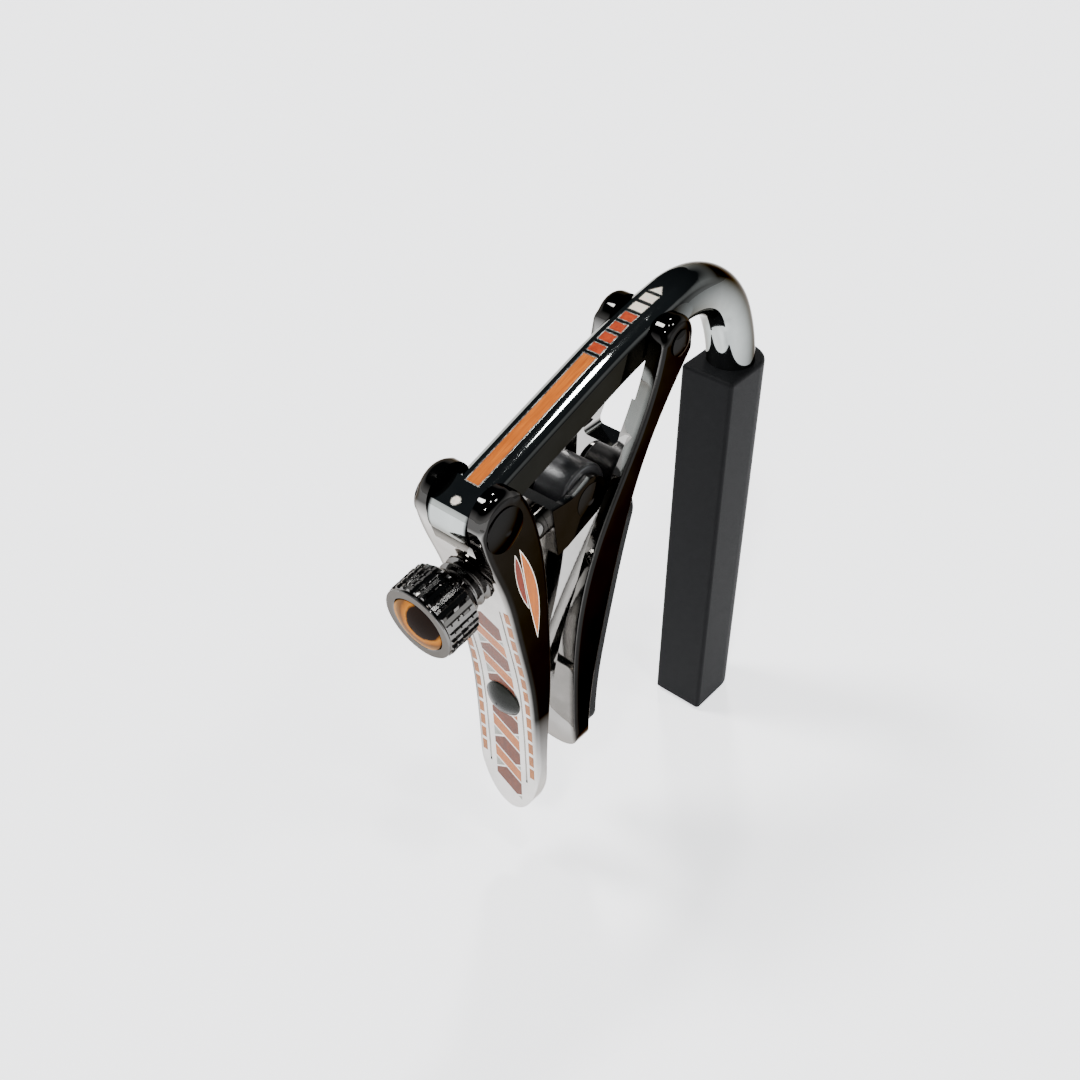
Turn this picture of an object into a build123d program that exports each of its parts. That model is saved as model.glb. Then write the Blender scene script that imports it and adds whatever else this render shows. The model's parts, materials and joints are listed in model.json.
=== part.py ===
from build123d import *
import os
from math import atan2, cos, degrees, radians, sin

os.makedirs("parts", exist_ok=True)

# The origin is the centre of the sleeve's string-pressing face. +X points away from the strings,
# +Y along the neck and +Z up the string bar to the bend. Y = 0 is the plane of symmetry.

# --- driving dimensions, mm ---
cutter_reach = 12.0
running_clearance = 0.05
flat_clearance = 0.2
press_clearance = 0.02

# string bar, bend and leg
rod_radius = 3.0
bend_lead = 3.6
entry_radius = 24.8
entry_turn = 26.4
crown_radius = 11.7
crown_turn = 71.6
ease_radius = 78.7
ease_turn = 10.35
leg_straight = 19.8
leg_half_width = 2.6
leg_top = 2.6
leg_bottom = 2.0
run_out_radius = 8.0
run_out_turn = 60.0
side_flat_end = 32.0
hub_radius = 3.2

# rubber sleeve
sleeve_length = 56.0
sleeve_side_wall = 0.75
string_pad = 2.4
sleeve_back_wall = 1.4
sleeve_end_wall = 2.0
sleeve_edge = 0.5

# lever
ear_thickness = 2.1
lever_ear_radius = 3.3
lever_ear_centre = (0.2, 0.8)
ear_face_angle = 190.0
ear_cheek_angle = 35.0
lever_pin_radius = 1.6
lever_pin_head_radius = 2.6
lever_pin_head_height = 0.55
handle_length = 50.5
handle_tip_length = 11.0
face_thickness = 1.7
channel_half_width = 3.3
channel_start = 13.2
channel_floor = 34.0
bridge_back = 11.2
bridge_low = 4.3
hub_gap = 0.9
lever_edge = 0.7

# neck rest
rest_station = 29.6
rest_pivot_drop = 0.5
rest_ear_radius = 2.9
rest_ridge_angle = 170.0
rest_neck_angle = -40.0
rest_half_width = 4.95
rest_pin_radius = 1.1
rest_pin_head_radius = 1.55
rest_pin_head_height = 0.6
rest_length = 52.9
rest_edge = 0.5
window_half_width = 2.4
window_foot = 11.1
track_half_width = 3.45
track_normal = 163.0
track_taper_start = 26.0
track_taper_end = 45.0
track_tip_half_width = 0.9
ear_gap_reach = 7.5
pad_thickness = 1.6
pad_half_width = 4.4
pad_start = 17.0
pad_end = 50.0
pad_corner = 2.64

# roller and its carriage
roller_radius = 3.8
roller_half_width = 2.1
roller_gap = 0.3
roller_edge = 0.35
roller_pin_radius = 1.25
roller_pin_head_radius = 2.1
roller_pin_head_height = 0.22
roller_reach = 16.98
roller_bearing = -22.0
carriage_wall = 0.95
carriage_web = 1.6
carriage_web_gap = 0.5
carriage_boss = 2.8
carriage_top = 3.0
carriage_foot = 3.7
boss_top_angle = 80.0
boss_foot_angle = -70.0
shoulder_drop = 0.4
saddle = (-2.2, 2.3)

# thumbscrew
screw_tilt = 8.6
screw_radius = 2.95
screw_root_radius = 2.4
screw_pitch = 1.0
crest_start = 0.4
crest_end = 0.6
screw_neck_radius = 2.1
screw_neck_length = 2.2
stud_radius = 1.4
stud_head_radius = 2.1
knob_radius = 4.65
knob_length = 4.8
knob_offset = 19.3
knob_edge = 0.45
knurl_count = 28
knurl_width = 0.5
knob_stone_radius = 3.25
knob_stone_depth = 1.2
knob_stone_rise = 0.75

# inlays
inlay_depth = 0.35
leg_inlay_half_width = 0.95
strip_start = 1.5
strip_end = 21.0
segment_pitch = 1.76
segment_length = 1.4
red_segment_count = 4
pearl_segment_count = 2
dot_station = -0.9
dot_radius = 0.6
handle_stone_radius = 2.5
handle_stone_place = (4.35, -30.6)
handle_stone_tilt = 7.0
handle_stone_rise = 1.0
handle_stone_seat = 0.6
handle_stone_margin = 0.12
pin_rim_share = 0.25
band_half_width = 2.0
bar_count = 5
first_bar = 17.4
bar_pitch = 5.7
bar_slope = 0.625
bar_width = 2.0
bar_gap = 0.3
left_cut = 4.05
right_cut = 6.85
dash_count = 13
first_dash = 12.8
dash_pitch = 2.35
dash_length = 1.4
dash_half_width = 0.36
dash_column = 3.8
groove_column = 2.9
groove_half_width = 0.12
groove_depth = 0.15
groove_start = 12.8
groove_end = 44.0


# --- places worked out from them ---
def polar(centre, radius, angle):
    return (centre[0] + radius * cos(radians(angle)), centre[1] + radius * sin(radians(angle)))


def along(angle):
    """The direction of travel on a circle, counterclockwise, at an angle."""
    return (-sin(radians(angle)), cos(radians(angle)))


def shifted(point, offset):
    return (point[0] + offset[0], point[1] + offset[1])


bar_x = string_pad + rod_radius
sleeve_half_width = rod_radius + sleeve_side_wall
sleeve_top = sleeve_length / 2
rod_foot = sleeve_end_wall - sleeve_top
bend_start = sleeve_top - bend_lead
entry_centre = (bar_x - entry_radius, bend_start)
entry_end = polar(entry_centre, entry_radius, entry_turn)
crown_centre = polar(entry_end, -crown_radius, entry_turn)
crown_angle = entry_turn + crown_turn
crown_end = polar(crown_centre, crown_radius, crown_angle)
ease_centre = polar(crown_end, -ease_radius, crown_angle)
leg_angle = crown_angle + ease_turn
ease_end = polar(ease_centre, ease_radius, leg_angle)
lever_pivot = polar(ease_end, leg_straight, leg_angle + 90)


def leg_point(station, height):
    """A point beside the leg's centreline, its station measured from the lever pivot."""
    if station <= leg_straight:
        on_line = polar(lever_pivot, station, leg_angle - 90)
        return polar(on_line, height, leg_angle)
    turned = (station - leg_straight) / ease_radius
    return polar(ease_centre, ease_radius + height, leg_angle - degrees(turned))


rest_pivot = leg_point(rest_station, -rest_pivot_drop)
roller_centre = polar(lever_pivot, roller_reach, roller_bearing)
ear_inner = leg_half_width + flat_clearance
ear_outer = ear_inner + ear_thickness
screw_direction = (cos(radians(screw_tilt)), 0, sin(radians(screw_tilt)))
screw_line = Axis((roller_centre[0], 0, roller_centre[1]), screw_direction)
screw_plane = Plane(origin=screw_line.position, x_dir=screw_direction, z_dir=(0, -1, 0))
screw_end_plane = Plane(
    origin=screw_plane.from_local_coords((-knob_offset, 0, 0)),
    z_dir=-screw_line.direction,
)
lever_plane = Plane(origin=(lever_pivot[0], 0, lever_pivot[1]), x_dir=(1, 0, 0), z_dir=(0, -1, 0))
rest_plane = Plane(origin=(rest_pivot[0], 0, rest_pivot[1]), x_dir=(1, 0, 0), z_dir=(0, -1, 0))
# outlines seen along +X, from in front of the lever and of the neck rest
front_plane = Plane(
    origin=(lever_pivot[0] - cutter_reach, 0, lever_pivot[1]), x_dir=(0, 1, 0), z_dir=(1, 0, 0)
)
rest_front_plane = Plane(
    origin=(rest_pivot[0] - 2 * cutter_reach, 0, rest_pivot[1]), x_dir=(0, 1, 0), z_dir=(1, 0, 0)
)


def slab(points, half_width):
    """A closed outline in the XZ plane, given its width along Y."""
    with BuildPart() as block:
        with BuildSketch(Plane.XZ):
            with BuildLine():
                Polyline(*points, close=True)
            make_face()
        extrude(amount=half_width, both=True)
    return block.part


def domed_disc(plane, radius, seat, rise):
    """A drum reaching the seat below the plane, with a shallow dome above it."""
    dome = (radius**2 + rise**2) / (2 * rise)
    rim_angle = degrees(atan2(dome - rise, radius))
    with BuildPart() as disc:
        with BuildSketch(Plane(origin=plane.origin, x_dir=plane.x_dir, z_dir=-plane.y_dir)):
            with BuildLine():
                Polyline((0, rise), (0, -seat), (radius, -seat), (radius, 0))
                CenterArc((0, rise - dome), dome, rim_angle, 90 - rim_angle)
            make_face()
        revolve(axis=Axis(plane.origin, plane.z_dir))
    return disc.part


def headed_pin(plane, radius, half_length, head_radius, head_height):
    """A plain pin with a shallow domed head at each end."""
    rim = pin_rim_share * head_height
    heads = []
    for side in (1, -1):
        seat = plane.offset(side * (half_length + rim))
        outward = Plane(origin=seat.origin, x_dir=plane.x_dir, z_dir=side * plane.z_dir)
        heads.append(domed_disc(outward, head_radius, rim, head_height - rim))
    with BuildPart() as pin:
        with BuildSketch(plane):
            Circle(radius)
        extrude(amount=half_length, both=True)
        add(heads)
    return pin.part


# --- inlays along the leg's top, each a length of one layer under the flat ---
with BuildPart() as leg_layer:
    with BuildSketch(Plane.XZ):
        with BuildLine():
            layer_start = leg_point(0, leg_top)
            layer_end = polar(ease_centre, ease_radius + leg_top, crown_angle)
            under_start = leg_point(0, leg_top - inlay_depth)
            under_end = polar(ease_centre, ease_radius + leg_top - inlay_depth, crown_angle)
            Line(layer_start, leg_point(leg_straight, leg_top))
            CenterArc(ease_centre, ease_radius + leg_top, crown_angle, ease_turn)
            Line(layer_end, under_end)
            CenterArc(ease_centre, ease_radius + leg_top - inlay_depth, crown_angle, ease_turn)
            Line(leg_point(leg_straight, leg_top - inlay_depth), under_start)
            Line(under_start, layer_start)
        make_face()
    extrude(amount=leg_inlay_half_width, both=True)


def leg_inlay(start, end):
    """The length of the layer between two stations."""
    high = leg_top + inlay_depth
    low = leg_top - 2 * inlay_depth
    points = [leg_point(start, high), leg_point(end, high), leg_point(end, low), leg_point(start, low)]
    with BuildPart() as length:
        add(leg_layer.part)
        add(slab(points, leg_half_width), mode=Mode.INTERSECT)
    return length.part


def segment_start(index):
    return strip_end + (index + 1) * segment_pitch - segment_length


def segments(first, count):
    starts = [segment_start(i) for i in range(first, first + count)]
    return [leg_inlay(start, start + segment_length) for start in starts]


red_segments = segments(0, red_segment_count)
pearl_segments = segments(red_segment_count, pearl_segment_count)
tip_start = segment_start(red_segment_count + pearl_segment_count)
tip_seat = leg_point(tip_start, leg_top)
with BuildPart() as leg_inlay_tip:
    with BuildSketch(Plane(origin=(tip_seat[0], 0, tip_seat[1]))):
        with BuildLine():
            Polyline(
                (0, leg_inlay_half_width), (segment_length, 0), (0, -leg_inlay_half_width), close=True
            )
        make_face()
    extrude(amount=segment_length, both=True)
    add(leg_inlay(tip_start, tip_start + segment_length), mode=Mode.INTERSECT)

with BuildPart() as leg_inlay_strip:
    add(leg_inlay(strip_start, strip_end))
leg_inlay_strip.part.label = "leg_inlay_strip"
export_step(leg_inlay_strip.part, "parts/leg_inlay_strip.step")

with BuildPart() as leg_inlay_red:
    add(red_segments)
leg_inlay_red.part.label = "leg_inlay_red"
export_step(leg_inlay_red.part, "parts/leg_inlay_red.step")

with BuildPart() as leg_inlay_pearl:
    add(pearl_segments + [leg_inlay_tip.part])
leg_inlay_pearl.part.label = "leg_inlay_pearl"
export_step(leg_inlay_pearl.part, "parts/leg_inlay_pearl.step")

dot_place = leg_point(dot_station, leg_top)
dot_plane = Plane(
    origin=(dot_place[0], 0, dot_place[1]),
    z_dir=(cos(radians(leg_angle)), 0, sin(radians(leg_angle))),
)
with BuildPart() as leg_inlay_dot:
    with BuildSketch(dot_plane):
        Circle(dot_radius)
    extrude(amount=-inlay_depth)
leg_inlay_dot.part.label = "leg_inlay_dot"
export_step(leg_inlay_dot.part, "parts/leg_inlay_dot.step")

# --- string bar, bend and leg: one bent rod with flats along the leg ---
with BuildPart() as main_bar:
    with BuildLine(Plane.XZ):
        Line((bar_x, rod_foot), (bar_x, bend_start))
        CenterArc(entry_centre, entry_radius, 0, entry_turn)
        CenterArc(crown_centre, crown_radius, entry_turn, crown_turn)
        CenterArc(ease_centre, ease_radius, crown_angle, ease_turn)
        Line(ease_end, lever_pivot)
    with BuildSketch(Plane.XY.offset(rod_foot)):
        with Locations((bar_x, 0)):
            Circle(rod_radius)
    sweep()
    with BuildSketch(lever_plane):
        Circle(hub_radius)
    extrude(amount=leg_half_width, both=True)
    # top flat: it follows the leg and runs out on the tangent where the crown begins
    with BuildSketch(Plane.XZ):
        with BuildLine():
            flat_end = leg_point(-cutter_reach, leg_top)
            tangent_end = polar(layer_end, cutter_reach, crown_angle - 90)
            Line(flat_end, leg_point(leg_straight, leg_top))
            CenterArc(ease_centre, ease_radius + leg_top, crown_angle, ease_turn)
            Line(layer_end, tangent_end)
            Line(tangent_end, polar(tangent_end, cutter_reach, 90))
            Line(polar(tangent_end, cutter_reach, 90), polar(flat_end, cutter_reach, 90))
            Line(polar(flat_end, cutter_reach, 90), flat_end)
        make_face()
    extrude(amount=cutter_reach, both=True, mode=Mode.SUBTRACT)
    # bottom flat, leaving the rod along a cutter's arc
    with BuildSketch(Plane.XZ):
        with BuildLine():
            flat_start = leg_point(hub_radius, -leg_bottom)
            arc_start = leg_point(leg_straight, -leg_bottom)
            arc_centre = polar(arc_start, -run_out_radius, leg_angle)
            arc_end = polar(arc_centre, run_out_radius, leg_angle - run_out_turn)
            below_arc = polar(arc_end, cutter_reach, leg_angle + 180)
            below_flat = polar(flat_start, cutter_reach, leg_angle + 180)
            Line(flat_start, arc_start)
            CenterArc(arc_centre, run_out_radius, leg_angle - run_out_turn, run_out_turn)
            Polyline(arc_end, below_arc, below_flat, flat_start)
        make_face()
    extrude(amount=cutter_reach, both=True, mode=Mode.SUBTRACT)
    # side flats, leaving the rod along the same arc
    flat_edge = leg_point(side_flat_end, 0)[0]
    beyond_hub = lever_pivot[0] - cutter_reach
    for side in (1, -1):
        flat_y = side * leg_half_width
        clear_y = side * (leg_half_width + run_out_radius)
        with BuildSketch(Plane.XY.offset(sleeve_top - cutter_reach)):
            with BuildLine():
                Line((beyond_hub, flat_y), (flat_edge, flat_y))
                CenterArc((flat_edge, clear_y), run_out_radius, -90 * side, 90 * side)
                Polyline((flat_edge + run_out_radius, clear_y), (beyond_hub, clear_y), (beyond_hub, flat_y))
            make_face()
        extrude(amount=4 * cutter_reach, mode=Mode.SUBTRACT)
    with BuildSketch(lever_plane):
        Circle(lever_pin_radius + running_clearance)
    extrude(amount=cutter_reach, both=True, mode=Mode.SUBTRACT)
    with BuildSketch(rest_plane):
        Circle(rest_pin_radius + running_clearance)
    extrude(amount=cutter_reach, both=True, mode=Mode.SUBTRACT)
    for inlay in (leg_inlay_strip, leg_inlay_red, leg_inlay_pearl, leg_inlay_dot):
        add(inlay.part, mode=Mode.SUBTRACT)
main_bar.part.label = "main_bar"
export_step(main_bar.part, "parts/main_bar.step")

# --- rubber sleeve: flat to the strings, round behind, closed at its foot ---
back_centre = bar_x + rod_radius + sleeve_back_wall - sleeve_half_width
with BuildPart() as string_sleeve:
    with BuildSketch(Plane.XY.offset(-sleeve_top)):
        with BuildLine():
            Polyline(
                (back_centre, sleeve_half_width),
                (0, sleeve_half_width),
                (0, -sleeve_half_width),
                (back_centre, -sleeve_half_width),
            )
            CenterArc((back_centre, 0), sleeve_half_width, -90, 180)
        make_face()
    extrude(amount=sleeve_length)
    fillet(string_sleeve.edges().filter_by(Axis.Z), sleeve_edge)
    chamfer(string_sleeve.faces().sort_by(Axis.Z)[0].edges(), sleeve_edge)
    fillet(string_sleeve.faces().sort_by(Axis.Z)[-1].edges(), sleeve_edge)
    with BuildLine(Plane.XZ):
        Line((bar_x, rod_foot), (bar_x, bend_start))
        CenterArc(entry_centre, entry_radius, 0, entry_turn)
    with BuildSketch(Plane.XY.offset(rod_foot)):
        with Locations((bar_x, 0)):
            Circle(rod_radius + press_clearance)
    sweep(mode=Mode.SUBTRACT)
string_sleeve.part.label = "string_sleeve"
export_step(string_sleeve.part, "parts/string_sleeve.step")

# --- lever: its outline, places from the pivot, and the layer under the handle's face ---
face_top = polar(lever_ear_centre, lever_ear_radius, ear_face_angle)
cheek_top = polar(lever_ear_centre, lever_ear_radius, ear_cheek_angle)
face_points = [face_top, (0.1, -9.25), (2.2, -17.9), (3.85, -25.6), (4.75, -34.3), (5.4, -handle_length)]
cheek_points = [(7.1, -handle_length), (7.2, -35.6), (7.6, -27.6), (7.3, -17.6), (6.4, -8.0), cheek_top]
face_tangents = [along(ear_face_angle), (0.03, -1)]
cheek_tangents = [(0, 1), along(ear_cheek_angle)]


def face_slab(depth):
    """The handle's curved face, taken the given depth into the metal."""
    with BuildPart() as layer:
        with BuildSketch(lever_plane):
            with BuildLine():
                inner_points = [shifted(point, (depth, 0)) for point in face_points]
                Spline(*face_points, tangents=face_tangents)
                Line(face_points[-1], inner_points[-1])
                Spline(*inner_points, tangents=face_tangents)
                Line(inner_points[0], face_points[0])
            make_face()
        extrude(amount=cutter_reach, both=True)
    return layer.part


def on_face(outlines, depth):
    """Flat outlines (side along -Y, drop below the pivot) laid through the handle's face."""
    with BuildPart() as layer:
        with BuildSketch(front_plane):
            for outline in outlines:
                with BuildLine():
                    Polyline(*[(-side, -drop) for side, drop in outline], close=True)
                make_face()
        extrude(amount=3 * cutter_reach)
        add(face_slab(depth), mode=Mode.INTERSECT)
        with BuildSketch(front_plane):
            with Locations((0, handle_stone_place[1])):
                Circle(handle_stone_radius + handle_stone_margin)
        extrude(amount=3 * cutter_reach, mode=Mode.SUBTRACT)
    return layer.part


def descending(side, start):
    """The drop of a line that falls across the band from its +Y edge."""
    return start + bar_slope * (side + band_half_width)


def rising(side, start):
    return start - bar_slope * (side + band_half_width)


def crossing(descending_start, rising_start):
    """Where a falling and a rising line meet."""
    side = (rising_start - descending_start) / (2 * bar_slope) - band_half_width
    return (side, descending(side, descending_start))


def bar_outline(start):
    return [
        (-band_half_width, start),
        (band_half_width, descending(band_half_width, start)),
        (band_half_width, descending(band_half_width, start + bar_width)),
        (-band_half_width, start + bar_width),
    ]


def between_bars(start):
    """The cell under one bar: an edge triangle, a clipped middle piece and a second triangle."""
    upper = start + bar_width + bar_gap
    lower = start + bar_pitch - bar_gap
    left = start + left_cut
    right = start + right_cut + 2 * bar_slope * band_half_width
    near = [(-band_half_width, upper), crossing(upper, left), (-band_half_width, left)]
    middle = [
        crossing(upper, left + bar_gap),
        (band_half_width, descending(band_half_width, upper)),
        (band_half_width, rising(band_half_width, right)),
        crossing(lower, right),
        (-band_half_width, lower),
        (-band_half_width, left + bar_gap),
    ]
    far = [
        (band_half_width, rising(band_half_width, right + bar_gap)),
        (band_half_width, descending(band_half_width, lower)),
        crossing(lower, right + bar_gap),
    ]
    return near, middle, far


bar_starts = [first_bar + i * bar_pitch for i in range(bar_count)]
cells = [between_bars(start) for start in [first_bar - bar_pitch] + bar_starts]
dash_starts = [first_dash + i * dash_pitch for i in range(dash_count)]
dashes = [
    [
        (side - dash_half_width, start),
        (side + dash_half_width, start),
        (side + dash_half_width, start + dash_length),
        (side - dash_half_width, start + dash_length),
    ]
    for start in dash_starts
    for side in (-dash_column, dash_column)
]
grooves = [
    [
        (side - groove_half_width, groove_start),
        (side + groove_half_width, groove_start),
        (side + groove_half_width, groove_end),
        (side - groove_half_width, groove_end),
    ]
    for side in (-groove_column, groove_column)
]

with BuildPart() as handle_inlay_bars:
    add(on_face([bar_outline(start) for start in bar_starts], inlay_depth))
handle_inlay_bars.part.label = "handle_inlay_bars"
export_step(handle_inlay_bars.part, "parts/handle_inlay_bars.step")

with BuildPart() as handle_inlay_short_bars:
    add(on_face([middle for near, middle, far in cells], inlay_depth))
handle_inlay_short_bars.part.label = "handle_inlay_short_bars"
export_step(handle_inlay_short_bars.part, "parts/handle_inlay_short_bars.step")

with BuildPart() as handle_inlay_triangles:
    add(on_face([end for near, middle, far in cells for end in (near, far)], inlay_depth))
handle_inlay_triangles.part.label = "handle_inlay_triangles"
export_step(handle_inlay_triangles.part, "parts/handle_inlay_triangles.step")

with BuildPart() as handle_inlay_dashes:
    add(on_face(dashes, inlay_depth))
handle_inlay_dashes.part.label = "handle_inlay_dashes"
export_step(handle_inlay_dashes.part, "parts/handle_inlay_dashes.step")


def leaf(right_edge, left_edge, side):
    """A slim leaf let into a cheek's outer face."""
    with BuildPart() as blade:
        with BuildSketch(lever_plane.offset(-side * ear_outer)):
            with BuildLine():
                Spline(*right_edge)
                Spline(*left_edge)
            make_face()
        extrude(amount=side * inlay_depth)
    return blade.part


orange_right = [(2.1, -3.8), (4.9, -10.8), (4.9, -18.1)]
orange_left = [(4.9, -18.1), (3.7, -12.9), (2.1, -3.8)]
red_right = [(1.4, -4.1), (2.5, -7.2), (3.2, -11.1), (3.6, -13.0)]
red_left = [(3.6, -13.0), (2.1, -9.7), (1.4, -6.4), (1.4, -4.1)]

with BuildPart() as cheek_leaf_orange:
    add([leaf(orange_right, orange_left, side) for side in (1, -1)])
cheek_leaf_orange.part.label = "cheek_leaf_orange"
export_step(cheek_leaf_orange.part, "parts/cheek_leaf_orange.step")

with BuildPart() as cheek_leaf_red:
    add([leaf(red_right, red_left, side) for side in (1, -1)])
cheek_leaf_red.part.label = "cheek_leaf_red"
export_step(cheek_leaf_red.part, "parts/cheek_leaf_red.step")

stone_place = shifted(lever_pivot, handle_stone_place)
stone_plane = Plane(
    origin=(stone_place[0], 0, stone_place[1]),
    z_dir=(-cos(radians(handle_stone_tilt)), 0, -sin(radians(handle_stone_tilt))),
)
with BuildPart() as handle_stone:
    add(domed_disc(stone_plane, handle_stone_radius, handle_stone_seat, handle_stone_rise))
handle_stone.part.label = "handle_stone"
export_step(handle_stone.part, "parts/handle_stone.step")

with BuildPart() as channel_pocket:
    with BuildSketch(lever_plane):
        with BuildLine():
            back_points = [shifted(point, (face_thickness, 0)) for point in face_points]
            beyond_foot = shifted(back_points[-1], (cutter_reach, 0))
            beyond_top = shifted(back_points[0], (2 * cutter_reach, 0))
            Spline(*back_points, tangents=face_tangents)
            Polyline(back_points[-1], beyond_foot, beyond_top, back_points[0])
        make_face()
    extrude(amount=channel_half_width, both=True)
    with BuildSketch(front_plane):
        with Locations((0, -(channel_start + channel_floor) / 2)):
            RectangleRounded(2 * channel_half_width, channel_floor - channel_start, channel_half_width / 2)
    extrude(amount=4 * cutter_reach, mode=Mode.INTERSECT)

with BuildPart() as lever:
    with BuildSketch(lever_plane):
        with BuildLine():
            Spline(*face_points, tangents=face_tangents)
            Line(face_points[-1], cheek_points[0])
            Spline(*cheek_points, tangents=cheek_tangents)
            CenterArc(lever_ear_centre, lever_ear_radius, ear_cheek_angle, ear_face_angle - ear_cheek_angle)
        make_face()
    extrude(amount=ear_outer, both=True)
    outer_faces = lever.faces().filter_by(Axis.Y).group_by(Axis.Y)
    outline_edges = (outer_faces[0].edges() + outer_faces[-1].edges()).sort_by(Axis.Z)
    fillet(outline_edges[2:], lever_edge)
    # the handle ends in half an ellipse
    with BuildSketch(front_plane):
        tip_start_drop = handle_length - handle_tip_length
        with Locations((0, -tip_start_drop)):
            Ellipse(ear_outer, handle_tip_length)
        with Locations((0, (cutter_reach - tip_start_drop) / 2)):
            Rectangle(2 * ear_outer, tip_start_drop + cutter_reach)
    extrude(amount=3 * cutter_reach, mode=Mode.INTERSECT)
    # gap between the ears for the leg's hub
    with BuildSketch(lever_plane):
        gap_radius = hub_radius + hub_gap
        Circle(gap_radius)
        with Locations((0, cutter_reach / 2)):
            Rectangle(2 * cutter_reach, cutter_reach)
        with Locations((cutter_reach / 2, -gap_radius / 2)):
            Rectangle(cutter_reach, gap_radius)
    extrude(amount=ear_inner, both=True, mode=Mode.SUBTRACT)
    # behind the screw's bridge the channel is open towards the neck
    with BuildSketch(screw_plane):
        with Locations((cutter_reach / 2 - bridge_back, cutter_reach / 2 - bridge_low)):
            Rectangle(cutter_reach, cutter_reach)
    extrude(amount=channel_half_width, both=True, mode=Mode.SUBTRACT)
    add(channel_pocket.part, mode=Mode.SUBTRACT)
    with BuildSketch(screw_end_plane):
        Circle(screw_radius + running_clearance)
    extrude(amount=-knob_offset, mode=Mode.SUBTRACT)
    with BuildSketch(lever_plane):
        Circle(lever_pin_radius)
    extrude(amount=cutter_reach, both=True, mode=Mode.SUBTRACT)
    for inlay in (handle_inlay_bars, handle_inlay_short_bars, handle_inlay_triangles, handle_inlay_dashes):
        add(inlay.part, mode=Mode.SUBTRACT)
    for inlay in (cheek_leaf_orange, cheek_leaf_red, handle_stone):
        add(inlay.part, mode=Mode.SUBTRACT)
    add(on_face(grooves, groove_depth), mode=Mode.SUBTRACT)
lever.part.label = "lever"
export_step(lever.part, "parts/lever.step")

with BuildPart() as lever_pin:
    add(headed_pin(lever_plane, lever_pin_radius, ear_outer, lever_pin_head_radius, lever_pin_head_height))
lever_pin.part.label = "lever_pin"
export_step(lever_pin.part, "parts/lever_pin.step")

# --- neck rest: two ears, two tines, a roller track between rails ---
ridge_foot = (-14.9, -rest_length)
neck_foot = (-13.4, -rest_length)
ridge_top = polar((0, 0), rest_ear_radius, rest_ridge_angle)
neck_top = polar((0, 0), rest_ear_radius, rest_neck_angle)
ridge_points = [ridge_top, (-6.5, -8.9), (-12.9, -19.6), (-16.3, -31.5), (-16.5, -43.5), ridge_foot]
neck_points = [neck_foot, (-13.0, -41.2), (-11.4, -33.0), (-5.7, -13.8), neck_top]
ridge_tangents = [along(rest_ridge_angle), (0.35, -1)]
neck_tangents = [(-0.05, 1), along(rest_neck_angle)]
track_contact = polar(
    (roller_centre[0] - rest_pivot[0], roller_centre[1] - rest_pivot[1]),
    roller_radius + roller_gap,
    track_normal + 180,
)
track_direction = track_normal + 90


def track_at(drop):
    distance = (-drop - track_contact[1]) / sin(radians(track_direction))
    return polar(track_contact, distance, track_direction)


with BuildPart() as track:
    with BuildSketch(rest_front_plane):
        with BuildLine():
            track_head = window_half_width - window_foot
            Polyline(
                (-track_half_width, track_head),
                (-track_half_width, -track_taper_start),
                (-track_tip_half_width, -track_taper_end),
                (track_tip_half_width, -track_taper_end),
                (track_half_width, -track_taper_start),
                (track_half_width, track_head),
                close=True,
            )
        make_face()
    extrude(amount=4 * cutter_reach)
    with BuildSketch(rest_plane):
        with BuildLine():
            floor_top = track_at(0)
            floor_foot = track_at(track_taper_end)
            front_top = shifted(floor_top, (-2 * cutter_reach, 0))
            front_foot = shifted(floor_foot, (-2 * cutter_reach, 0))
            Polyline(floor_top, floor_foot, front_foot, front_top, close=True)
        make_face()
    extrude(amount=cutter_reach, both=True, mode=Mode.INTERSECT)

with BuildPart() as neck_rest:
    with BuildSketch(rest_plane):
        with BuildLine():
            Spline(*ridge_points, tangents=ridge_tangents)
            Line(ridge_foot, neck_foot)
            Spline(*neck_points, tangents=neck_tangents)
            CenterArc((0, 0), rest_ear_radius, rest_neck_angle, rest_ridge_angle - rest_neck_angle)
        make_face()
    extrude(amount=rest_half_width, both=True)
    rest_faces = neck_rest.faces().filter_by(Axis.Y).group_by(Axis.Y)
    rest_outline_edges = (rest_faces[0].edges() + rest_faces[-1].edges()).sort_by(Axis.Z)
    fillet(rest_outline_edges[2:], rest_edge)
    # its foot is a half circle
    with BuildSketch(rest_front_plane):
        foot_centre = rest_half_width - rest_length
        with Locations((0, foot_centre)):
            Circle(rest_half_width)
        with Locations((0, (foot_centre + cutter_reach) / 2)):
            Rectangle(2 * rest_half_width, cutter_reach - foot_centre)
    extrude(amount=4 * cutter_reach, mode=Mode.INTERSECT)
    # gap between the ears
    with BuildSketch(rest_plane):
        Circle(ear_gap_reach)
    extrude(amount=ear_inner, both=True, mode=Mode.SUBTRACT)
    # window between the tines
    with BuildSketch(rest_front_plane):
        with Locations((0, -window_foot / 2)):
            RectangleRounded(2 * window_half_width, window_foot, window_half_width / 3)
    extrude(amount=4 * cutter_reach, mode=Mode.SUBTRACT)
    add(track.part, mode=Mode.SUBTRACT)
    with BuildSketch(rest_plane):
        Circle(rest_pin_radius)
    extrude(amount=cutter_reach, both=True, mode=Mode.SUBTRACT)
neck_rest.part.label = "neck_rest"
export_step(neck_rest.part, "parts/neck_rest.step")

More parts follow.
